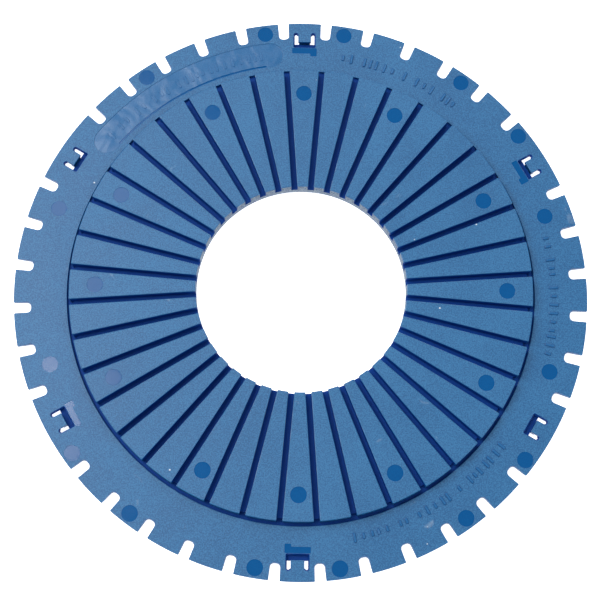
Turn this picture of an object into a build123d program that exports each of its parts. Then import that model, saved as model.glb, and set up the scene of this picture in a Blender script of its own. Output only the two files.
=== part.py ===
from build123d import *
import math
import os

# Slotted ring disc, 200 mm across, clipped together from three flat mouldings: a back plate, a slotted disc
# whose raised wedges stand up through the middle, and a notched flange ring that holds the disc down with six
# snap tabs hooked under the back plate's edge.
#
# Millimetres. +Z is up and the origin is the centre of the underside. Angles are in degrees clockwise from +Y,
# seen from above, and +Y is the middle of the first snap tab.

# ---- driving dimensions ----
OUTER_RADIUS = 100.0
HOLE_RADIUS = 36.6
RAISED_RADIUS = 80.4
RAISED_HEIGHT = 4.2           # top of the wedges above the top of the flange ring
LAYER_GAP = 0.05              # play between layers that lie on each other
CUT_OVERRUN = 1.0             # how far a cutting shape runs past the surface it cuts through

BACK_THICKNESS = 1.5
BACK_RADIUS = 92.9
BACK_HOLE_RADIUS = 39.6

DISC_FLANGE_THICKNESS = 1.2
DISC_FLANGE_RADIUS = 90.3
DISC_WALL = 1.5
WEDGE_COUNT = 40
SLOT_WIDTH = 2.0
SLOT_DEPTH = 3.7
SLOT_FLOOR_RADIUS = 79.2      # the slot floors stop here, short of the wedges' outer ends
WEDGE_SKIN = 1.2
POCKET_START_RADIUS = 40.0

RING_THICKNESS = 1.2
RING_INNER_RADIUS = 81.55
NOTCH_WIDTH = 3.8
NOTCH_ROOT_RADIUS = 94.0
NOTCH_CORNER_RADIUS = 1.5
NOTCH_SKIPPED = (58.5, 121.5, 238.5, 301.5)   # solid rim beside four of the tabs

TAB_COUNT = 6
WINDOW_WIDTH = 7.85
WINDOW_INNER_RADIUS = 90.7
WINDOW_OUTER_RADIUS = 96.25
TAB_WIDTH = 4.6
TAB_TIP_RADIUS = 92.76
TAB_ROOT_RADIUS = 96.3
TAB_PLAY = 0.05
HOOK_WIDTH = 4.0
HOOK_INNER_RADIUS = 93.1
HOOK_THICKNESS = 1.2
BARB_REACH = 0.8
BARB_HEIGHT = 0.67
BARB_LIFT = 0.05              # underside of the barb above the ground
LIP_THICKNESS = 0.7           # what is left of the back plate's edge above each barb
LIP_POCKET_DEPTH = 1.0
LIP_POCKET_WIDTH = 5.0

LUG_RADIUS = 72.0
LUG_SIZE = (5.6, 4.0, 4.2)    # across, along the radius, up
LUG_ANGLES = (0, 90, 180, 270)

PIN_MARK_RADIUS = 2.75
PIN_MARK_DEPTH = 0.1
WEDGE_MARK_CIRCLE = 71.4
WEDGE_MARK_ANGLES = (0, 27, 63, 90, 117, 153, 180, 207, 243, 270, 297, 333)
RIM_MARK_CIRCLE = 96.5
RIM_MARK_ANGLES = (8.5, 36, 53, 127, 144, 171.5, 188.5, 216, 233, 324, 351.5)
BAND_MARK_CIRCLE = 90.4
BAND_MARK_ANGLES = (71.7, 107.7, 252.3, 288.3)

LABEL_CIRCLE = 88.35
LABEL_ANGLES = (-52.5, -8.0)  # centres of the label recess's round ends
LABEL_WIDTH = 9.0
LABEL_DEPTH = 0.15

# ---- levels ----
disc_bottom = BACK_THICKNESS + LAYER_GAP
disc_flange_top = disc_bottom + DISC_FLANGE_THICKNESS
ring_bottom = disc_flange_top + LAYER_GAP
ring_top = ring_bottom + RING_THICKNESS
wedge_top = ring_top + RAISED_HEIGHT
slot_floor = wedge_top - SLOT_DEPTH
floor_bottom = slot_floor - DISC_WALL
pocket_roof = wedge_top - DISC_WALL

pitch = 360 / WEDGE_COUNT
tab_axis_height = (ring_bottom + ring_top) / 2


def washer(inner_radius, outer_radius, bottom, top):
    """A flat ring between two levels."""
    outline = Circle(outer_radius) - Circle(inner_radius)
    return Pos(0, 0, bottom) * extrude(outline, top - bottom)


def turned(shape, angle):
    """A shape built along +Y, turned clockwise to its angle."""
    return Rot(0, 0, -angle) * shape


def radial_block(width, inner_radius, outer_radius, bottom, top):
    """A box along +Y between two radii and two levels."""
    middle = Pos(0, (inner_radius + outer_radius) / 2, (bottom + top) / 2)
    return middle * Box(width, outer_radius - inner_radius, top - bottom)


def round_mark(circle_radius, angle, surface):
    """A shallow round recess where an ejector pin met the moulding."""
    disc = Pos(0, circle_radius, surface) * Cylinder(PIN_MARK_RADIUS, 2 * PIN_MARK_DEPTH)
    return turned(disc, angle)


def back_plate():
    """Flat plate underneath, thinned over each barb, with four lugs that stop the slotted disc turning."""
    plate = washer(BACK_HOLE_RADIUS, BACK_RADIUS, 0, BACK_THICKNESS)
    pocket = radial_block(LIP_POCKET_WIDTH, BACK_RADIUS - LIP_POCKET_DEPTH, BACK_RADIUS + CUT_OVERRUN,
                          -CUT_OVERRUN, BACK_THICKNESS - LIP_THICKNESS)
    plate -= [turned(pocket, 360 / TAB_COUNT * i) for i in range(TAB_COUNT)]
    across, along, height = LUG_SIZE
    lug = radial_block(across, LUG_RADIUS - along / 2, LUG_RADIUS + along / 2, 0, BACK_THICKNESS + height)
    return plate + [turned(lug, angle) for angle in LUG_ANGLES]


def wedge_pocket():
    """The hollow inside the wedge that lies on +Y, open underneath."""
    half_pitch = math.radians(pitch / 2)
    wall = (SLOT_WIDTH / 2 + WEDGE_SKIN) / math.cos(half_pitch)
    start = POCKET_START_RADIUS
    end = SLOT_FLOOR_RADIUS - DISC_WALL
    near = start * math.tan(half_pitch) - wall
    far = end * math.tan(half_pitch) - wall
    outline = Polygon((-near, start), (near, start), (far, end), (-far, end), align=None)
    return Pos(0, 0, floor_bottom - CUT_OVERRUN) * extrude(outline, pocket_roof - floor_bottom + CUT_OVERRUN)


def slotted_disc():
    """Thin-walled disc with a flange, a bore wall and a ring of hollow wedges with radial slots between."""
    flange = washer(SLOT_FLOOR_RADIUS - DISC_WALL, DISC_FLANGE_RADIUS, disc_bottom, disc_flange_top)
    outer_wall = washer(SLOT_FLOOR_RADIUS - DISC_WALL, SLOT_FLOOR_RADIUS, disc_bottom, slot_floor)
    bore_wall = washer(HOLE_RADIUS, HOLE_RADIUS + DISC_WALL, disc_bottom, slot_floor)
    floor = washer(HOLE_RADIUS, SLOT_FLOOR_RADIUS, floor_bottom, slot_floor)
    wedges = washer(HOLE_RADIUS, RAISED_RADIUS, slot_floor, wedge_top)
    wedge_ends = washer(SLOT_FLOOR_RADIUS, RAISED_RADIUS, disc_flange_top, slot_floor)
    slot_mouth = RAISED_RADIUS + CUT_OVERRUN
    slot = radial_block(SLOT_WIDTH, HOLE_RADIUS - CUT_OVERRUN, slot_mouth, slot_floor, wedge_top + CUT_OVERRUN)
    slot_end = radial_block(SLOT_WIDTH, SLOT_FLOOR_RADIUS, slot_mouth, disc_flange_top, slot_floor)
    slot_angles = [pitch * (i + 0.5) for i in range(WEDGE_COUNT)]
    wedges -= [turned(slot, angle) for angle in slot_angles]
    wedge_ends -= [turned(slot_end, angle) for angle in slot_angles]
    disc = flange + outer_wall + bore_wall + floor + wedges + wedge_ends
    disc -= [turned(wedge_pocket(), pitch * i) for i in range(WEDGE_COUNT)]
    return disc - [round_mark(WEDGE_MARK_CIRCLE, angle, wedge_top) for angle in WEDGE_MARK_ANGLES]


def rim_notch():
    """A U-shaped notch through the rim on +Y."""
    bottom = ring_bottom - CUT_OVERRUN
    top = ring_top + CUT_OVERRUN
    corner_radius = NOTCH_ROOT_RADIUS + NOTCH_CORNER_RADIUS
    corner_offset = NOTCH_WIDTH / 2 - NOTCH_CORNER_RADIUS
    notch = radial_block(NOTCH_WIDTH, corner_radius, OUTER_RADIUS + CUT_OVERRUN, bottom, top)
    notch += radial_block(2 * corner_offset, NOTCH_ROOT_RADIUS, corner_radius, bottom, top)
    for side in (-1, 1):
        corner = Pos(side * corner_offset, corner_radius, tab_axis_height)
        notch += corner * Cylinder(NOTCH_CORNER_RADIUS, top - bottom)
    return notch


def tab_window():
    """The U-shaped opening round a tab on +Y, with the hollow seat that the tab's root turns in."""
    bottom = ring_bottom - CUT_OVERRUN
    top = ring_top + CUT_OVERRUN
    leg_width = (WINDOW_WIDTH - TAB_WIDTH) / 2
    leg_offset = (WINDOW_WIDTH - leg_width) / 2
    leg_end = WINDOW_OUTER_RADIUS - leg_width / 2
    opening = radial_block(WINDOW_WIDTH, WINDOW_INNER_RADIUS, leg_end, bottom, top)
    for side in (-1, 1):
        opening += Pos(side * leg_offset, leg_end, tab_axis_height) * Cylinder(leg_width / 2, top - bottom)
    seat_width = TAB_WIDTH + 2 * TAB_PLAY
    opening += radial_block(seat_width, leg_end - CUT_OVERRUN, TAB_ROOT_RADIUS, bottom, top)
    seat = Rot(0, 90, 0) * Cylinder(RING_THICKNESS / 2 + TAB_PLAY, seat_width)
    return opening + Pos(0, TAB_ROOT_RADIUS, tab_axis_height) * seat


def label_recess():
    """A long shallow recess with round ends along the flange, where a label or marking would go."""
    first, last = LABEL_ANGLES
    path = CenterArc((0, 0), LABEL_CIRCLE, 90 - last, last - first)
    return Pos(0, 0, ring_top - LABEL_DEPTH) * extrude(SlotArc(path, LABEL_WIDTH), CUT_OVERRUN)


def flange_ring():
    """The visible flange: a flat ring with a notched rim and six openings for the tabs."""
    ring = washer(RING_INNER_RADIUS, OUTER_RADIUS, ring_bottom, ring_top)
    notch_angles = [pitch * (i + 0.5) for i in range(WEDGE_COUNT)]
    ring -= [turned(rim_notch(), angle) for angle in notch_angles if angle not in NOTCH_SKIPPED]
    ring -= [turned(tab_window(), 360 / TAB_COUNT * i) for i in range(TAB_COUNT)]
    ring -= [round_mark(RIM_MARK_CIRCLE, angle, ring_top) for angle in RIM_MARK_ANGLES]
    ring -= [round_mark(BAND_MARK_CIRCLE, angle, ring_top) for angle in BAND_MARK_ANGLES]
    return ring - label_recess()


def snap_tab():
    """The tongue on +Y with its hook: a rounded root, a leg down past the back plate's edge and a barb."""
    tongue = radial_block(TAB_WIDTH, TAB_TIP_RADIUS, TAB_ROOT_RADIUS, ring_bottom, ring_top)
    root = Rot(0, 90, 0) * Cylinder(RING_THICKNESS / 2, TAB_WIDTH)
    barb_top = BARB_LIFT + BARB_HEIGHT
    lead_in = BARB_HEIGHT / 2
    hook = Polygon(
        (HOOK_INNER_RADIUS, ring_bottom + RING_THICKNESS / 2),
        (HOOK_INNER_RADIUS, barb_top),
        (HOOK_INNER_RADIUS - BARB_REACH, barb_top),
        (HOOK_INNER_RADIUS - BARB_REACH, BARB_LIFT + lead_in),
        (HOOK_INNER_RADIUS - BARB_REACH + lead_in, BARB_LIFT),
        (HOOK_INNER_RADIUS + HOOK_THICKNESS, BARB_LIFT),
        (HOOK_INNER_RADIUS + HOOK_THICKNESS, ring_bottom + RING_THICKNESS / 2),
        align=None,
    )
    hook_solid = extrude(Plane.YZ * hook, HOOK_WIDTH / 2, both=True)
    return tongue + Pos(0, TAB_ROOT_RADIUS, tab_axis_height) * root + hook_solid


os.makedirs("parts", exist_ok=True)
export_step(back_plate(), "parts/back_plate.step")
export_step(slotted_disc(), "parts/slotted_disc.step")
export_step(flange_ring(), "parts/flange_ring.step")
for i in range(TAB_COUNT):
    export_step(turned(snap_tab(), 360 / TAB_COUNT * i), f"parts/snap_tab_{i + 1}.step")
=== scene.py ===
"""Slotted ring disc: the look of its three blue mouldings and six snap tabs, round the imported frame."""

import math
import random

import bmesh
import bpy
import numpy as np
from mathutils import Matrix, Vector
from mathutils.geometry import delaunay_2d_cdt


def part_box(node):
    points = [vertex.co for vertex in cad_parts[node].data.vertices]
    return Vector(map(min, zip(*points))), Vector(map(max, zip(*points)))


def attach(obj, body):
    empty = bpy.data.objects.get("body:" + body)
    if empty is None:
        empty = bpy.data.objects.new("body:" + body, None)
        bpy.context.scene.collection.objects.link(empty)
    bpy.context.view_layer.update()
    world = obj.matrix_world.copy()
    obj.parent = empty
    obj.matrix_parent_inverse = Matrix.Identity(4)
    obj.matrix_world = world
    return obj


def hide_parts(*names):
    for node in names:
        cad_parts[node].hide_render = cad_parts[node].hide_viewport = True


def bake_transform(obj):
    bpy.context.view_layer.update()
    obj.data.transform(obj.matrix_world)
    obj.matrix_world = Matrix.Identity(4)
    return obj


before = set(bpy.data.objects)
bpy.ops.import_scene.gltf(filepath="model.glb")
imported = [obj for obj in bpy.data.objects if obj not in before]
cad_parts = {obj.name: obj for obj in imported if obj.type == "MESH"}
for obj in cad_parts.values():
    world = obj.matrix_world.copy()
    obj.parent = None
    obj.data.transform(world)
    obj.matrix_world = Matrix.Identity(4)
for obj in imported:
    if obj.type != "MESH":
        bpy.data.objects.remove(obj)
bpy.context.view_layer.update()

# ---- sizes in millimetres, angles in degrees, clockwise from +Y as seen from above ----
MM = 0.001

# heights that the frame gives
ring_low, ring_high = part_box("flange_ring")
disc_low, disc_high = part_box("slotted_disc")
RING_BOTTOM = ring_low.z / MM
RING_TOP = ring_high.z / MM
DISC_BOTTOM = disc_low.z / MM
WEDGE_TOP = disc_high.z / MM
LUG_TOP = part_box("back_plate")[1].z / MM

# slotted disc
HOLE_RADIUS = 36.6
RAISED_RADIUS = 80.4
WEDGE_COUNT = 40
PITCH = 360 / WEDGE_COUNT
WEDGE_CORNER = 0.35
WEDGE_EDGE = 0.22
SLOT_WIDTH = 2.0
SLOT_FLOOR_RADIUS = 79.2
SLOT_FLOOR = WEDGE_TOP - 3.7
FLOOR_BOTTOM = SLOT_FLOOR - 1.5
DISC_WALL = 1.5
DISC_FLANGE_TOP = 2.75
DISC_FLANGE_RADIUS = 90.3
DISC_EDGE = 0.15
POCKET_ROOF = WEDGE_TOP - 1.5
POCKET_RADII = (40.0, 77.0)
POCKET_SIDE = 2.2
POCKET_CORNER = 0.4

# flange ring
OUTER_RADIUS = 100.0
RING_INNER_RADIUS = 81.55
RING_EDGE = 0.12
RING_INNER_EDGE = 0.15
NOTCH_WIDTH = 3.8
NOTCH_ROOT_RADIUS = 94.0
NOTCH_CORNER = 1.5
NOTCH_MOUTH_CORNER = 0.3
NOTCH_DRAFT = 0.2
NOTCH_SKIPPED = (58.5, 121.5, 238.5, 301.5)

# snap tabs and the windows round them
TAB_COUNT = sum(name.startswith("snap_tab_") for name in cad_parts)
TAB_PITCH = 360 / TAB_COUNT
TAB_HALF = 2.3
TAB_TIP_RADIUS = 92.76
TAB_CORNER = 0.3
TAB_EDGES = (0.1, 0.12)
WINDOW_HALF = 3.925
WINDOW_INNER_RADIUS = 90.7
WINDOW_CORNER = 0.45
WINDOW_DRAFT = 0.35
LEG_END_RADIUS = 95.4375
LEG_RADIUS = 0.8125
HOOK_HALF = 2.0
HOOK_RADII = (93.1, 94.3)
BARB_REACH = 0.8
BARB_TOP = 0.72
BARB_BOTTOM = 0.05
BARB_LEAD = 0.335

# back plate
BACK_RADIUS = 92.9
BACK_HOLE_RADIUS = 39.6
BACK_TOP = 1.5
BACK_RIM_EDGE = 0.12
BACK_HOLE_EDGE = 0.15
LIP_BOTTOM = 0.8
LIP_POCKET_RADIUS = 91.9
LIP_POCKET_HALF = 2.5
LUG_RADIUS = 72.0
LUG_HALF = (2.8, 2.0)
LUG_CORNER = 0.4
LUG_EDGE = 0.25
LUG_ANGLES = (0, 90, 180, 270)

# where the round ejector marks, the flat patches, the long recess and the rows of plain bars are
MARK_RADIUS = 2.75
WEDGE_MARK_CIRCLE = 71.4
WEDGE_MARK_ANGLES = (0, 27, 63, 90, 117, 153, 180, 207, 243, 270, 297, 333)
RIM_MARK_CIRCLE = 96.5
RIM_MARK_ANGLES = (8.5, 36, 53, 127, 144, 171.5, 188.5, 216, 233, 324, 351.5)
BAND_MARK_CIRCLE = 90.4
BAND_MARK_ANGLES = (71.7, 107.7, 252.3, 288.3)
BACK_MARK_CIRCLES = (84.0, 50.0)
BACK_MARK_ANGLES = range(15, 360, 30)
PATCH_OUTLINE = ((-4.4, 88.4), (2.2, 88.4), (2.2, 87.4), (4.4, 87.4), (4.4, 90.45), (-4.4, 90.45))
PATCH_CORNER = 0.25
PATCH_ANGLES = (0, 60, 180, 240)
LABEL_CIRCLE = 88.35
LABEL_WIDTH = 9.0
LABEL_ANGLES = (-52.5, -8.0)
GROOVE_CIRCLE = 84.25
GROOVE_WIDTH = 0.4
GROOVE_MARGIN = 1.5
BAR_WIDTH = 1.1
BAR_LENGTHS = (2.2, 3.4, 3.4)
BAR_SPACINGS = (1, 1.4, 1.4, 2.2)
BAR_CORNER = 0.4
BAR_HEIGHT = 0.4
BAR_EDGE_SHARE = 0.7
# first and last angle, radius and seed of each row of bars
BAR_ROWS = ((8.5, 38.0, 88.0, 3), (76.0, 104.5, 88.3, 4), (127.0, 168.5, 87.2, 5))
LABEL_BAR_MARGIN = 1.0
LABEL_BAR_HEIGHT = 0.13
LABEL_BAR_SEED = 11

# how far each of these stands up, or is sunk where it is negative, and the size of its rounded edge
WEDGE_MARK = (-0.1, 0.08)
RIM_MARK = (-0.08, 0.07)
BAND_MARK = (-0.04, 0.03)
PATCH = (-0.05, 0.04)
LABEL_RECESS = (-0.15, 0.14)
GROOVE = (-0.1, 0.1)
BACK_MARK = (-0.1, 0.05)

# the finishes of a moulding's faces, as material indices; the fifth is a darker copy of the blue that paints
# shade into the slots, the gap under the ring, the window walls and the back plate's top, and the sixth
# paints the pale floor's reflection, mottled with darker blue, on the bore wall and the wedge tips round it
GRAIN, SMOOTH, MARK, LABEL, PAINTED_SHADE, PAINTED_REFLECTION = range(6)

# inset and drop of the points round a small rounded edge, as shares of its size
ROUNDING = ((0.0, 1.0), (0.293, 0.293), (1.0, 0.0))

# how many steps make up the curves, and the longest of them along the notched rim
RIM_STEPS = 240
HOLE_STEPS = 160
MARK_STEPS = 40
LABEL_STEPS = 60
RIM_STEP_ANGLE = 1.2

# the shares of a wedge's rounded corner that get a point
CORNER_SHARES = (0, 0.33, 0.67, 1)

# points closer than this are welded, and the share of a flat face's normal that points up or down
WELD = 0.002
FLAT = 0.999

# how near a point is to the place that it is tested against, and how far inside the rim a notch starts
TOLERANCE = 0.01
WALL_TOLERANCE = 0.05
NOTCH_START = 0.6

# the least turn of a corner that is rounded, the most of a side that it takes, and the turn of a crisp edge
SHARP_TURN = math.radians(30)
CORNER_REACH = 0.45
CRISP_TURN = math.radians(40)


# ---- outlines: arrays of points in the plane, closed, anticlockwise unless they bound a hole ----
def turned(points, angle):
    """Points built about +Y, turned clockwise."""
    a = math.radians(angle)
    x, y = np.asarray(points, float).reshape(-1, 2).T
    return np.column_stack([x * math.cos(a) + y * math.sin(a), y * math.cos(a) - x * math.sin(a)])


def arc(centre, radius, start, end, steps):
    """Points along an arc, both ends included, between two anticlockwise angles from +X."""
    a = np.radians(np.linspace(start, end, steps + 1))
    return np.column_stack([centre[0] + radius * np.cos(a), centre[1] + radius * np.sin(a)])


def circle(radius, steps):
    return arc((0.0, 0.0), radius, 0, 360, steps)[:-1]


def bent(start, corner, end, t):
    """The point at share t of the smooth curve that leaves start towards the corner and reaches end."""
    return start * (1 - t) ** 2 + 2 * corner * t * (1 - t) + end * t ** 2


def rounded(points, radius, corners=None, steps=3):
    """The outline with its corners rounded: those given by index, or else every sharp one."""
    points = np.asarray(points, float)
    out = []
    for i, p in enumerate(points):
        before, after = points[i - 1] - p, points[(i + 1) % len(points)] - p
        la, lb = np.linalg.norm(before), np.linalg.norm(after)
        turn = math.pi - math.acos(np.clip(before @ after / (la * lb), -1, 1))
        kept = turn < SHARP_TURN if corners is None else i not in corners
        if kept:
            out.append(p)
            continue
        reach = min(radius * math.tan(turn / 2), CORNER_REACH * la, CORNER_REACH * lb)
        a, b = p + before / la * reach, p + after / lb * reach
        out += [bent(a, p, b, t) for t in np.linspace(0, 1, steps + 1)]
    return np.array(out)


def inset(points, distance):
    """The outline moved to its left, into the material, by one distance or by one for each point."""
    edge = np.roll(points, -1, axis=0) - points
    edge /= np.linalg.norm(edge, axis=1)[:, None]
    normal = np.column_stack([-edge[:, 1], edge[:, 0]])
    previous = np.roll(normal, 1, axis=0)
    mitre = (normal + previous) / (1 + np.sum(normal * previous, axis=1))[:, None]
    return points + mitre * np.reshape(distance, (-1, 1))


def inside(points, loops):
    """Which points lie inside an odd number of the loops."""
    result = np.zeros(len(points), bool)
    x, y = points[:, 0][:, None], points[:, 1][:, None]
    for loop in loops:
        x1, y1 = loop[:, 0][None], loop[:, 1][None]
        x2, y2 = np.roll(loop[:, 0], -1)[None], np.roll(loop[:, 1], -1)[None]
        spans = (y1 > y) != (y2 > y)
        with np.errstate(divide="ignore", invalid="ignore"):
            crosses = spans & (x < (x2 - x1) * (y - y1) / (y2 - y1) + x1)
        result ^= crosses.sum(axis=1) % 2 == 1
    return result


class Mark:
    """A small shape that stands up from a face, or is sunk into it where its height is negative."""

    def __init__(self, outline, finish, height, edge, marks=()):
        self.outline = outline
        self.finish = finish
        self.height = height
        self.edge = edge
        self.marks = marks


class Moulding:
    """Collects the faces of one moulded piece in millimetres, then welds them into one mesh."""

    def __init__(self):
        self.points = []
        self.faces = []
        self.finishes = []

    def add(self, points, faces, finish):
        start = len(self.points)
        self.points += [tuple(p) for p in points]
        self.faces += [tuple(start + i for i in face) for face in faces]
        self.finishes += [finish] * len(faces)

    def cap(self, loops, z, finish, up=True):
        """A flat face between loops, pointing up or down."""
        edges, start = [], 0
        for loop in loops:
            edges += [(start + i, start + (i + 1) % len(loop)) for i in range(len(loop))]
            start += len(loop)
        flat = [Vector(p) for p in np.vstack(loops)]
        found, _, faces, _, _, _ = delaunay_2d_cdt(flat, edges, [], 0, 1e-5)
        found = np.array([tuple(p) for p in found])
        faces = np.array(faces)
        faces = faces[inside(found[faces].mean(axis=1), loops)]
        a, b, c = (found[faces[:, i]] for i in range(3))
        ab, ac = b - a, c - a
        clockwise = ab[:, 0] * ac[:, 1] - ab[:, 1] * ac[:, 0] < 0
        flip = clockwise if up else ~clockwise
        faces[flip] = faces[flip][:, ::-1]
        self.add([(x, y, z) for x, y in found], faces.tolist(), finish)

    def strip(self, low, low_z, high, high_z, finish, closed=True):
        """Faces between two rows of points, the lower and the upper."""
        n = len(low)
        points = [(*p, z) for p, z in zip(low, np.broadcast_to(low_z, n))]
        points += [(*p, z) for p, z in zip(high, np.broadcast_to(high_z, n))]
        last = n if closed else n - 1
        faces = [(i, (i + 1) % n, n + (i + 1) % n, n + i) for i in range(last)]
        self.add(points, faces, finish)

    def side(self, loop, low, high, finish, low_edge=0.0, high_edge=0.0, weight=1.0, edge_finish=None):
        """Upright wall along a loop, whose edges are rounded as far as each point's weight says.

        Returns the outlines left for the lower and the upper face.
        """
        if edge_finish is None:
            edge_finish = finish
        weight = np.broadcast_to(weight, len(loop)).astype(float)
        if low_edge:
            rows = [(move * low_edge, low + drop * low_edge * weight) for move, drop in reversed(ROUNDING)]
        else:
            rows = [(0.0, low + 0 * weight)]
        wall = len(rows) - 1
        if high_edge:
            rows += [(move * high_edge, high - drop * high_edge * weight) for move, drop in ROUNDING]
        else:
            rows.append((0.0, high + 0 * weight))
        loops = [inset(loop, move * weight) for move, _ in rows]
        heights = [z for _, z in rows]
        for i in range(len(rows) - 1):
            strip_finish = finish if i == wall else edge_finish
            self.strip(loops[i], heights[i], loops[i + 1], heights[i + 1], strip_finish)
        return loops[0], loops[-1]

    def drafted_side(self, loop, weight, low, high, draft, finish, edge):
        """A wall whose foot stands further out into its opening, with a rounded upper edge.

        Returns the outlines left for the lower and the upper face.
        """
        foot = inset(loop, -draft * weight)
        self.strip(foot, low, loop, high - 2 * edge, finish)
        _, top = self.side(loop, high - 2 * edge, high, finish, high_edge=edge, weight=weight)
        return foot, top

    def marked_cap(self, loops, z, finish, marks=()):
        """An upward face with marks on it."""
        loops = list(loops)
        for mark in marks:
            level = z + mark.height
            if mark.height > 0:
                _, top = self.side(mark.outline, z, level, SMOOTH, high_edge=mark.edge)
                loops.append(mark.outline)
                self.marked_cap([top], level, mark.finish, mark.marks)
            else:
                _, mouth = self.side(mark.outline[::-1], level, z, mark.finish, high_edge=mark.edge)
                loops.append(mouth)
                self.marked_cap([mark.outline], level, mark.finish, mark.marks)
        self.cap(loops, z, finish)

    def sunk_below(self, outline, z, finish, height, edge):
        """A shallow recess in a downward face at z. Returns the outline that the face needs as a hole."""
        mouth, _ = self.side(outline[::-1], z, z - height, SMOOTH, low_edge=edge)
        self.cap([outline], z - height, finish, up=False)
        return mouth

    def piece(self, name, materials):
        """The welded mesh as an object, smooth round its walls and crisp where a flat face starts."""
        mesh = bpy.data.meshes.new(name)
        mesh.from_pydata([tuple(v * MM for v in p) for p in self.points], [], self.faces)
        mesh.polygons.foreach_set("material_index", self.finishes)
        bm = bmesh.new()
        bm.from_mesh(mesh)
        bmesh.ops.remove_doubles(bm, verts=bm.verts, dist=WELD * MM)
        bmesh.ops.dissolve_degenerate(bm, edges=bm.edges, dist=WELD * MM / 4)
        bm.normal_update()
        for face in bm.faces:
            face.smooth = True
        for edge in bm.edges:
            flats = [abs(f.normal.z) > FLAT for f in edge.link_faces]
            crisp = len(flats) != 2 or edge.calc_face_angle(0) > CRISP_TURN
            edge.smooth = not (crisp or flats[0] != flats[1])
        loose = sum(len(e.link_faces) != 2 for e in bm.edges)
        print(name, len(bm.faces), "faces", loose, "open edges")
        bm.to_mesh(mesh)
        bm.free()
        for material in materials:
            mesh.materials.append(material)
        piece = bpy.data.objects.new(name, mesh)
        bpy.context.scene.collection.objects.link(piece)
        return piece


# ---- the outline of each feature ----
def round_mark(circle_radius, angle):
    return turned(circle(MARK_RADIUS, MARK_STEPS) + (0, circle_radius), angle)


def block(half_width, inner, outer, corner, angle):
    """A rounded rectangle across +Y between two radii, turned to its angle."""
    corners = [(-half_width, inner), (half_width, inner), (half_width, outer), (-half_width, outer)]
    return turned(rounded(corners, corner, corners=range(4)), angle)


def arc_band(radius, width, first, last):
    """A long slot with round ends that follows an arc between the angles of its two end centres."""
    half = width / 2
    outer = arc((0, 0), radius + half, 90 - first, 90 - last, LABEL_STEPS)
    inner = arc((0, 0), radius - half, 90 - last, 90 - first, LABEL_STEPS)
    end = turned(arc((0, radius), half, 90, -90, steps=14), last)
    start = turned(arc((0, radius), half, 270, 90, steps=14), first)
    return np.vstack([outer, end[1:-1], inner, start[1:-1]])[::-1]


def rim_outline():
    """The flange's rim, anticlockwise, with its notches."""
    half = NOTCH_WIDTH / 2
    flat = half - NOTCH_CORNER
    centre = NOTCH_ROOT_RADIUS + NOTCH_CORNER
    mouth = math.sqrt(OUTER_RADIUS ** 2 - half ** 2)
    notch = np.vstack([
        [(half, mouth)],
        arc((flat, centre), NOTCH_CORNER, 0, -90, steps=5),
        arc((-flat, centre), NOTCH_CORNER, -90, -180, steps=5),
        [(-half, mouth)],
    ])
    reach = math.degrees(math.asin(half / OUTER_RADIUS))
    angles = [PITCH * (i + 0.5) for i in range(WEDGE_COUNT)]
    angles = [a for a in angles if a not in NOTCH_SKIPPED][::-1]
    rim = []
    for i, angle in enumerate(angles):
        following = angles[i + 1] if i + 1 < len(angles) else angles[0] - 360
        rim.append(turned(notch, angle))
        start, end = 90 - (angle - reach), 90 - (following + reach)
        steps = max(4, round((end - start) / RIM_STEP_ANGLE))
        rim.append(arc((0, 0), OUTER_RADIUS, start, end, steps)[1:-1])
    return rounded(np.vstack(rim), NOTCH_MOUTH_CORNER)


def tab_window(angle):
    """The opening round a tab, anticlockwise, and how far its edge is rounded at each point."""
    offset = WINDOW_HALF - LEG_RADIUS
    corners = [(-WINDOW_HALF, WINDOW_INNER_RADIUS), (WINDOW_HALF, WINDOW_INNER_RADIUS),
               (WINDOW_HALF, LEG_END_RADIUS), (-WINDOW_HALF, LEG_END_RADIUS)]
    base = rounded(corners, WINDOW_CORNER, corners=(0, 1))
    right, left = (arc((x, LEG_END_RADIUS), LEG_RADIUS, 0, 180, steps=10) for x in (offset, -offset))
    outline = np.vstack([base[:-2], right, left])
    at_root = (abs(outline[:, 0]) < TAB_HALF + TOLERANCE) & (abs(outline[:, 1] - LEG_END_RADIUS) < TOLERANCE)
    return turned(outline, angle), np.where(at_root, 0.0, 1.0)


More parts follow.
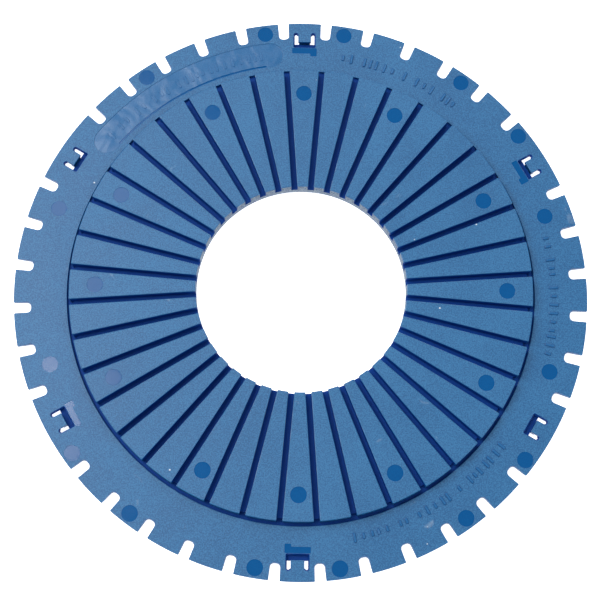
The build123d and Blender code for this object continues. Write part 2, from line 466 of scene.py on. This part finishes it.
def wedge_rows(angle):
    """The rows of points round one wedge, anticlockwise: its tip, right side, outer end and left side."""
    half = math.radians(PITCH / 2)

    def on_side(radius, side):
        along = math.sqrt(radius ** 2 - (SLOT_WIDTH / 2) ** 2)
        x = along * math.sin(half) - SLOT_WIDTH / 2 * math.cos(half)
        y = along * math.cos(half) + SLOT_WIDTH / 2 * math.sin(half)
        return np.array((side * x, y))

    def on_arc(radius, side, short):
        x, y = on_side(radius, side)
        a = math.atan2(x, y) - side * short / radius
        return np.array((radius * math.sin(a), radius * math.cos(a)))

    def corner(radius, side, along):
        a, b = on_arc(radius, side, WEDGE_CORNER), on_side(radius, side)
        c = on_side(radius + along, side)
        return np.array([bent(a, b, c, t) for t in CORNER_SHARES])

    def between(start, end, radius, steps):
        a, b = (math.degrees(math.atan2(p[1], p[0])) for p in (start, end))
        return arc((0, 0), radius, a, b, steps)[1:-1]

    tip_left = corner(HOLE_RADIUS, -1, WEDGE_CORNER)[::-1]
    tip_right = corner(HOLE_RADIUS, 1, WEDGE_CORNER)
    end_right = corner(RAISED_RADIUS, 1, -WEDGE_CORNER)[::-1]
    end_left = corner(RAISED_RADIUS, -1, -WEDGE_CORNER)
    floor_right, floor_left = on_side(SLOT_FLOOR_RADIUS, 1), on_side(SLOT_FLOOR_RADIUS, -1)
    tip_arc = between(tip_left[-1], tip_right[0], HOLE_RADIUS, steps=4)
    end_arc = between(end_right[-1], end_left[0], RAISED_RADIUS, steps=8)
    tip = np.vstack([tip_left[-1:], tip_arc, tip_right[:1]])
    right = np.vstack([tip_right, [floor_right]])
    end = np.vstack([[floor_right], end_right, end_arc, end_left, [floor_left]])
    left = np.vstack([[floor_left], tip_left])
    return [turned(row, angle) for row in (tip, right, end, left)]


def wedge_pocket(angle):
    """The hollow under one wedge, anticlockwise."""
    inner, outer = POCKET_RADII
    near, far = (radius * math.tan(math.radians(PITCH / 2)) - POCKET_SIDE for radius in POCKET_RADII)
    corners = [(-near, inner), (near, inner), (far, outer), (-far, outer)]
    return turned(rounded(corners, POCKET_CORNER), angle)


def bar_row(first, last, radius, seed, height):
    """A row of plain raised bars across an arc, with random lengths and spaces."""
    rng = random.Random(seed)
    pitch = math.degrees(2 * BAR_WIDTH / radius)
    marks, angle = [], first + pitch / 2
    while angle < last:
        half = rng.choice(BAR_LENGTHS) / 2
        outline = block(BAR_WIDTH / 2, radius - half, radius + half, BAR_CORNER, angle)
        marks.append(Mark(outline, LABEL, height, height * BAR_EDGE_SHARE))
        angle += pitch * rng.choice(BAR_SPACINGS)
    return marks


def long_recess():
    """The shallow recess on the flange, with a row of bars and a fine groove in it."""
    first, last = LABEL_ANGLES
    bars = bar_row(first + LABEL_BAR_MARGIN, last - LABEL_BAR_MARGIN, LABEL_CIRCLE,
                   LABEL_BAR_SEED, LABEL_BAR_HEIGHT)
    groove = arc_band(GROOVE_CIRCLE, GROOVE_WIDTH, first + GROOVE_MARGIN, last - GROOVE_MARGIN)
    inner_marks = bars + [Mark(groove, MARK, *GROOVE)]
    return Mark(arc_band(LABEL_CIRCLE, LABEL_WIDTH, first, last), LABEL, *LABEL_RECESS, inner_marks)


# ---- the pieces ----
def build_slotted_disc(materials):
    """Slotted disc: hollow wedges on a floor, a bore wall and a thin flange."""
    m = Moulding()
    rows = [wedge_rows(PITCH * i) for i in range(WEDGE_COUNT)]
    bore, wedge_ends = [], []
    for i, (tip, right, end, left) in enumerate(rows):
        next_left = rows[(i + 1) % WEDGE_COUNT][3]
        middle_angle = PITCH * (i + 0.5)
        middle = turned([(0, HOLE_RADIUS)], middle_angle)
        outer_middle = turned([(0, SLOT_FLOOR_RADIUS)], middle_angle)
        bore += [tip, middle]
        wedge_ends += [end[::-1], outer_middle]
        # the slot floors, the slot ends and the wedges' sides and outer ends take the darker blue of painted
        # shade
        m.cap([np.vstack([right, outer_middle, next_left, middle])], SLOT_FLOOR, PAINTED_SHADE)
        slot_end = np.vstack([next_left[:1], outer_middle, right[-1:]])
        m.strip(slot_end, DISC_FLANGE_TOP, slot_end, SLOT_FLOOR, PAINTED_SHADE, closed=False)
        m.strip(end, DISC_FLANGE_TOP, end, SLOT_FLOOR, PAINTED_SHADE, closed=False)
        wedge = np.vstack([tip, right[1:], end[1:], left[1:-1]])
        _, top = m.side(wedge, SLOT_FLOOR, WEDGE_TOP, PAINTED_SHADE, high_edge=WEDGE_EDGE, edge_finish=LABEL)
        marks = []
        if PITCH * i in WEDGE_MARK_ANGLES:
            marks.append(Mark(round_mark(WEDGE_MARK_CIRCLE, PITCH * i), MARK, *WEDGE_MARK))
        m.marked_cap([top], WEDGE_TOP, GRAIN, marks)
    # of the walls made so far, those round the bore get the painted reflection of the pale floor instead of
    # the painted shade, and those outside the slots are smooth
    for i, face in enumerate(m.faces):
        radii = [math.hypot(*m.points[v][:2]) for v in face]
        if m.finishes[i] == PAINTED_SHADE and max(radii) < HOLE_RADIUS + WALL_TOLERANCE:
            m.finishes[i] = PAINTED_REFLECTION
        elif m.finishes[i] == PAINTED_SHADE and min(radii) > SLOT_FLOOR_RADIUS + WALL_TOLERANCE:
            m.finishes[i] = SMOOTH
    # the lower bore wall gets the same painted reflection of the pale floor
    bore_low, _ = m.side(np.vstack(bore), DISC_BOTTOM, SLOT_FLOOR, PAINTED_REFLECTION, low_edge=DISC_EDGE)
    flange = circle(DISC_FLANGE_RADIUS, RIM_STEPS)
    flange_low, flange_top = m.side(flange, DISC_BOTTOM, DISC_FLANGE_TOP, SMOOTH, DISC_EDGE, DISC_EDGE)
    # the disc's flange, seen in the gap under the ring, takes the darker blue of painted shade
    m.cap([flange_top, np.vstack(wedge_ends)], DISC_FLANGE_TOP, PAINTED_SHADE)
    inner_wall = circle(HOLE_RADIUS + DISC_WALL, HOLE_STEPS)
    m.strip(inner_wall, DISC_BOTTOM, inner_wall, FLOOR_BOTTOM, SMOOTH)
    m.cap([inner_wall, bore_low], DISC_BOTTOM, SMOOTH, up=False)
    outer_wall = circle(SLOT_FLOOR_RADIUS - DISC_WALL, RIM_STEPS)[::-1]
    m.strip(outer_wall, DISC_BOTTOM, outer_wall, FLOOR_BOTTOM, SMOOTH)
    m.cap([flange_low, outer_wall], DISC_BOTTOM, SMOOTH, up=False)
    pockets = [wedge_pocket(PITCH * i) for i in range(WEDGE_COUNT)]
    for pocket in pockets:
        m.strip(pocket[::-1], FLOOR_BOTTOM, pocket[::-1], POCKET_ROOF, SMOOTH)
        m.cap([pocket], POCKET_ROOF, SMOOTH, up=False)
    m.cap([outer_wall, inner_wall] + pockets, FLOOR_BOTTOM, SMOOTH, up=False)
    return m.piece("slotted_disc_moulding", materials)


def build_flange_ring(materials):
    """Flange ring: notched rim, six windows, ejector marks, the long recess and rows of bars."""
    m = Moulding()
    rim = rim_outline()
    in_notch = np.where(np.hypot(*rim.T) < OUTER_RADIUS - NOTCH_START, 1.0, 0.0)
    rim_low, rim_top = m.drafted_side(rim, in_notch, RING_BOTTOM, RING_TOP, NOTCH_DRAFT, SMOOTH, RING_EDGE)
    inner = circle(RING_INNER_RADIUS, RIM_STEPS)[::-1]
    inner_low, inner_top = m.side(inner, RING_BOTTOM, RING_TOP, SMOOTH, RING_EDGE, RING_INNER_EDGE)
    lows, tops = [rim_low, inner_low], [rim_top, inner_top]
    for i in range(TAB_COUNT):
        outline, weight = tab_window(TAB_PITCH * i)
        # the window walls take the darker blue of painted shade
        low, top = m.drafted_side(outline[::-1], weight[::-1], RING_BOTTOM, RING_TOP,
                                  WINDOW_DRAFT, PAINTED_SHADE, RING_EDGE)
        lows.append(low)
        tops.append(top)
    m.cap(lows, RING_BOTTOM, SMOOTH, up=False)
    marks = [Mark(round_mark(RIM_MARK_CIRCLE, angle), MARK, *RIM_MARK) for angle in RIM_MARK_ANGLES]
    marks += [Mark(round_mark(BAND_MARK_CIRCLE, angle), MARK, *BAND_MARK) for angle in BAND_MARK_ANGLES]
    patch = rounded(PATCH_OUTLINE, PATCH_CORNER)
    marks += [Mark(turned(patch, angle), MARK, *PATCH) for angle in PATCH_ANGLES]
    marks.append(long_recess())
    for first, last, radius, seed in BAR_ROWS:
        marks += bar_row(first, last, radius, seed, BAR_HEIGHT)
    m.marked_cap(tops, RING_TOP, GRAIN, marks)
    return m.piece("flange_ring_moulding", materials)


def build_snap_tab(index, materials):
    """Snap tab: the tongue inside a window, with its hook and barb underneath."""
    m = Moulding()
    lengthwise = np.linspace(LEG_END_RADIUS, TAB_TIP_RADIUS, 9)
    outline = [(-TAB_HALF, y) for y in lengthwise] + [(TAB_HALF, y) for y in lengthwise[::-1]]
    tip = (len(lengthwise) - 1, len(lengthwise))
    outline = rounded(outline, TAB_CORNER, corners=tip)
    weight = np.where(outline[:, 1] > LEG_END_RADIUS - TOLERANCE, 0.0, 1.0)
    low, top = m.side(outline, RING_BOTTOM, RING_TOP, SMOOTH, *TAB_EDGES, weight)
    m.cap([top], RING_TOP, GRAIN)
    near, far = HOOK_RADII
    root = np.array([(-HOOK_HALF, near), (HOOK_HALF, near), (HOOK_HALF, far), (-HOOK_HALF, far)])
    m.cap([low, root], RING_BOTTOM, SMOOTH, up=False)
    barb = near - BARB_REACH
    profile = [(near, RING_BOTTOM), (near, BARB_TOP), (barb, BARB_TOP), (barb, BARB_BOTTOM + BARB_LEAD),
               (barb + BARB_LEAD, BARB_BOTTOM), (far, BARB_BOTTOM), (far, RING_BOTTOM)]
    n = len(profile)
    points = [(x, y, z) for x in (-HOOK_HALF, HOOK_HALF) for y, z in profile]
    faces = [tuple(range(n - 1, -1, -1)), tuple(range(n, 2 * n))]
    faces += [(i, i + 1, n + i + 1, n + i) for i in range(n - 1)]
    m.add(points, faces, SMOOTH)
    m.points = [(*turned([p[:2]], TAB_PITCH * index)[0], p[2]) for p in m.points]
    return m.piece(f"snap_tab_{index + 1}_tongue", materials)


def build_back_plate(materials):
    """Back plate: flat washer with a thinned edge over each barb and four lugs."""
    m = Moulding()
    reach = math.degrees(math.asin(LIP_POCKET_HALF / BACK_RADIUS))
    mouth = math.sqrt(BACK_RADIUS ** 2 - LIP_POCKET_HALF ** 2)
    pocket = np.array([(LIP_POCKET_HALF, mouth), (LIP_POCKET_HALF, LIP_POCKET_RADIUS),
                       (-LIP_POCKET_HALF, LIP_POCKET_RADIUS), (-LIP_POCKET_HALF, mouth)])
    across = arc((0, 0), BACK_RADIUS, 90 - reach, 90 + reach, steps=4)
    rest = arc((0, 0), BACK_RADIUS, 90 + reach, 90 + TAB_PITCH - reach, steps=40)[1:-1]
    rim, stepped = [], []
    for i in range(TAB_COUNT):
        angle = -TAB_PITCH * i
        rim += [turned(across, angle), turned(rest, angle)]
        stepped += [turned(pocket, angle), turned(rest, angle)]
    rim, stepped = np.vstack(rim), np.vstack(stepped)
    hole = circle(BACK_HOLE_RADIUS, HOLE_STEPS)[::-1]
    hole_low, hole_top = m.side(hole, 0, BACK_TOP, SMOOTH, BACK_HOLE_EDGE, BACK_HOLE_EDGE)
    low, _ = m.side(stepped, 0, LIP_BOTTOM, SMOOTH, low_edge=BACK_RIM_EDGE)
    _, top = m.side(rim, LIP_BOTTOM, BACK_TOP, SMOOTH, high_edge=BACK_RIM_EDGE)
    m.cap([rim, stepped], LIP_BOTTOM, SMOOTH, up=False)
    across_half, along_half = LUG_HALF
    lugs = [block(across_half, LUG_RADIUS - along_half, LUG_RADIUS + along_half, LUG_CORNER, angle)
            for angle in LUG_ANGLES]
    # the plate's top, which shows through the windows, takes the darker blue of painted shade
    m.marked_cap([top, hole_top], BACK_TOP, PAINTED_SHADE,
                 [Mark(lug, SMOOTH, LUG_TOP - BACK_TOP, LUG_EDGE) for lug in lugs])
    below = [low, hole_low]
    for angle in BACK_MARK_ANGLES:
        marks = [round_mark(radius, angle) for radius in BACK_MARK_CIRCLES]
        below += [m.sunk_below(mark, 0, MARK, *BACK_MARK) for mark in marks]
    m.cap(below, 0, GRAIN, up=False)
    return m.piece("back_plate_moulding", materials)


# ---- materials ----
def plastic(name, dark, light, roughness, specular, grain_depth, blotch=1.0, specks=False, wave=0.0):
    """Moulded blue plastic with mottled colour and fine grain.

    Specks add dust and scuffs, and wave is the depth in metres of slow ripples in its surface.
    """
    material = bpy.data.materials.new(name)
    material.use_nodes = True
    tree = material.node_tree
    tree.nodes.clear()
    link = tree.links.new

    def node(kind, **settings):
        """A node with settings made on it, or on its input where the name starts with a capital."""
        made = tree.nodes.new(kind)
        for key, value in settings.items():
            if key[0].isupper():
                made.inputs[key.replace("_", " ")].default_value = value
            else:
                setattr(made, key, value)
        return made

    def noise(**settings):
        made = node("ShaderNodeTexNoise", **settings)
        link(where, made.inputs["Vector"])
        return made.outputs["Fac"]

    def remapped(value, **limits):
        made = node("ShaderNodeMapRange", **limits)
        link(value, made.inputs["Value"])
        return made.outputs["Result"]

    def combined(operation, first, second, clamp=False):
        made = node("ShaderNodeMath", operation=operation, use_clamp=clamp)
        link(first, made.inputs[0])
        link(second, made.inputs[1])
        return made.outputs["Value"]

    out = node("ShaderNodeOutputMaterial")
    shader = node("ShaderNodeBsdfPrincipled", Specular_IOR_Level=specular)
    link(shader.outputs["BSDF"], out.inputs["Surface"])
    where = node("ShaderNodeTexCoord").outputs["Object"]

    cloud = noise(Scale=45.0, Detail=5.0, Roughness=0.6)
    fine = noise(Scale=2300.0, Detail=2.0, Roughness=0.6)
    broad = remapped(cloud, From_Min=0.32, From_Max=0.68,
                     To_Min=0.5 - 0.2 * blotch, To_Max=0.5 + 0.2 * blotch)
    mottle = remapped(fine, From_Min=0.3, From_Max=0.7, To_Min=-0.9 * blotch, To_Max=0.9 * blotch)
    colour = node("ShaderNodeMix", data_type="RGBA", A=(*dark, 1), B=(*light, 1))
    link(combined("ADD", broad, mottle, clamp=True), colour.inputs["Factor"])
    final = colour.outputs["Result"]

    if specks:
        cells = node("ShaderNodeTexVoronoi", Scale=230.0)
        link(where, cells.inputs["Vector"])
        near = remapped(cells.outputs["Distance"], From_Min=0.05, From_Max=0.09, To_Min=1.0, To_Max=0.0)
        chance = node("ShaderNodeSeparateColor")
        link(cells.outputs["Color"], chance.inputs["Color"])
        rare = node("ShaderNodeMath", operation="LESS_THAN")
        rare.inputs[1].default_value = 0.035
        link(chance.outputs["Red"], rare.inputs[0])
        dots = combined("MULTIPLY", near, rare.outputs["Value"])
        smear = noise(Scale=95.0, Detail=3.0, Distortion=1.5)
        scuff = remapped(smear, From_Min=0.70, From_Max=0.82, To_Max=0.2)
        dusty = node("ShaderNodeMix", data_type="RGBA", B=(0.62, 0.70, 0.78, 1))
        link(combined("MAXIMUM", dots, scuff), dusty.inputs["Factor"])
        link(final, dusty.inputs["A"])
        final = dusty.outputs["Result"]
    link(final, shader.inputs["Base Color"])
    link(remapped(cloud, To_Min=roughness * 0.85, To_Max=roughness * 1.15), shader.inputs["Roughness"])

    bump = node("ShaderNodeBump", Strength=0.6, Distance=grain_depth)
    link(noise(Scale=2600.0, Detail=3.0, Roughness=0.65), bump.inputs["Height"])
    if wave:
        ripple = node("ShaderNodeBump", Strength=1.0, Distance=wave)
        link(noise(Scale=170.0, Detail=1.0, Distortion=0.4), ripple.inputs["Height"])
        link(ripple.outputs["Normal"], bump.inputs["Normal"])
    link(bump.outputs["Normal"], shader.inputs["Normal"])
    return material


# in the order of the finishes
blues = [
    plastic("blue_grained", dark=(0.001, 0.080, 0.225), light=(0.019, 0.152, 0.345),
            roughness=0.44, specular=0.5, grain_depth=0.00006, specks=True),
    plastic("blue_smooth", dark=(0.002, 0.078, 0.240), light=(0.004, 0.096, 0.280),
            roughness=0.35, specular=0.35, grain_depth=0.000004, blotch=0.4),
    plastic("blue_mark", dark=(0.0005, 0.070, 0.235), light=(0.001, 0.088, 0.270),
            roughness=0.14, specular=0.25, grain_depth=0.000004, blotch=0.4),
    plastic("blue_label", dark=(0.004, 0.098, 0.265), light=(0.014, 0.125, 0.310),
            roughness=0.30, specular=0.5, grain_depth=0.000006, wave=0.0005),
    # a darker copy of the blue: painted shade for the slots, the gap and the window walls
    plastic("blue_painted_shade", dark=(0.001, 0.040, 0.240), light=(0.002, 0.054, 0.290),
            roughness=0.55, specular=0.12, grain_depth=0.000004, blotch=0.4),
    # navy mottled with a pale grey that paints the floor's reflection on the bore wall
    plastic("blue_painted_reflection", dark=(0.002, 0.040, 0.150), light=(0.200, 0.270, 0.320),
            roughness=0.55, specular=0.30, grain_depth=0.00005),
]

# ---- put the disc, ring and plate on the frame; the tongues stand in place, not attached ----
disc = build_slotted_disc(blues)
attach(disc, "slotted_disc")
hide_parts("slotted_disc")

ring = build_flange_ring(blues)
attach(ring, "flange_ring")
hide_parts("flange_ring")

plate = build_back_plate(blues)
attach(plate, "back_plate")
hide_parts("back_plate")

for i in range(TAB_COUNT):
    tongue = build_snap_tab(i, blues)
    node_name = f"snap_tab_{i + 1}"
    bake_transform(tongue)
    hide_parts(node_name)

# ---- floor, light and camera, in metres ----
FLOOR_REACH = 30.0
FLOOR_DROP = 0.0003
FLOOR_CORNERS = ((-1, -1), (1, -1), (1, 1), (-1, 1))
scene = bpy.context.scene
floor_mesh = bpy.data.meshes.new("floor")
floor_points = [(x * FLOOR_REACH, y * FLOOR_REACH, 0) for x, y in FLOOR_CORNERS]
floor_mesh.from_pydata(floor_points, [], [(0, 1, 2, 3)])
floor = bpy.data.objects.new("floor", floor_mesh)
floor.location.z = -FLOOR_DROP
scene.collection.objects.link(floor)
white = bpy.data.materials.new("pale_floor")
white.use_nodes = True
floor_shader = white.node_tree.nodes["Principled BSDF"]
floor_shader.inputs["Base Color"].default_value = (0.92, 0.92, 0.92, 1)
floor_shader.inputs["Roughness"].default_value = 0.9
floor_shader.inputs["Emission Color"].default_value = (1, 1, 1, 1)
floor_shader.inputs["Emission Strength"].default_value = 1.0
floor_mesh.materials.append(white)

world = bpy.data.worlds.new("studio")
scene.world = world
world.use_nodes = True
world.node_tree.nodes["Background"].inputs["Color"].default_value = (1, 1, 1, 1)
world.node_tree.nodes["Background"].inputs["Strength"].default_value = 0.35


def softbox(name, place, size, power):
    """A square light aimed at the middle of the disc, with its power in watts."""
    lamp = bpy.data.lights.new(name, "AREA")
    lamp.energy = power
    lamp.size = size
    light = bpy.data.objects.new(name, lamp)
    light.location = place
    light.rotation_euler = (-Vector(place)).to_track_quat("-Z", "Y").to_euler()
    scene.collection.objects.link(light)


softbox("left_light", place=(-0.85, 0.34, 1.55), size=1.2, power=23)
softbox("back_light", place=(0.35, 1.25, 1.3), size=0.9, power=7)
softbox("right_light", place=(1.0, -0.2, 1.4), size=0.9, power=4)
softbox("front_light", place=(0.0, -1.2, 1.2), size=0.9, power=3)
softbox("glint_light", place=(-0.33, 0.185, 1.5), size=0.15, power=0.85)

CAMERA_PLACE = Vector((-0.00453, -0.11802, 0.49776))
CAMERA_DIRECTION = Vector((0.00821, 0.22607, -0.97408))
CAMERA_ROLL = 0.0511
camera_data = bpy.data.cameras.new("camera")
camera_data.lens = 87.29
camera_data.sensor_width = 36
camera_data.clip_start = 0.01
camera = bpy.data.objects.new("camera", camera_data)
forward = CAMERA_DIRECTION.normalized()
level = forward.cross(Vector((0, 0, 1))).normalized()
upright = level.cross(forward)
right = level * math.cos(CAMERA_ROLL) + upright * math.sin(CAMERA_ROLL)
up = upright * math.cos(CAMERA_ROLL) - level * math.sin(CAMERA_ROLL)
camera_turn = Matrix((right, up, -forward)).transposed().to_4x4()
camera.matrix_world = Matrix.Translation(CAMERA_PLACE) @ camera_turn
scene.collection.objects.link(camera)
scene.camera = camera

scene.view_settings.view_transform = "Standard"
scene.view_settings.look = "None"
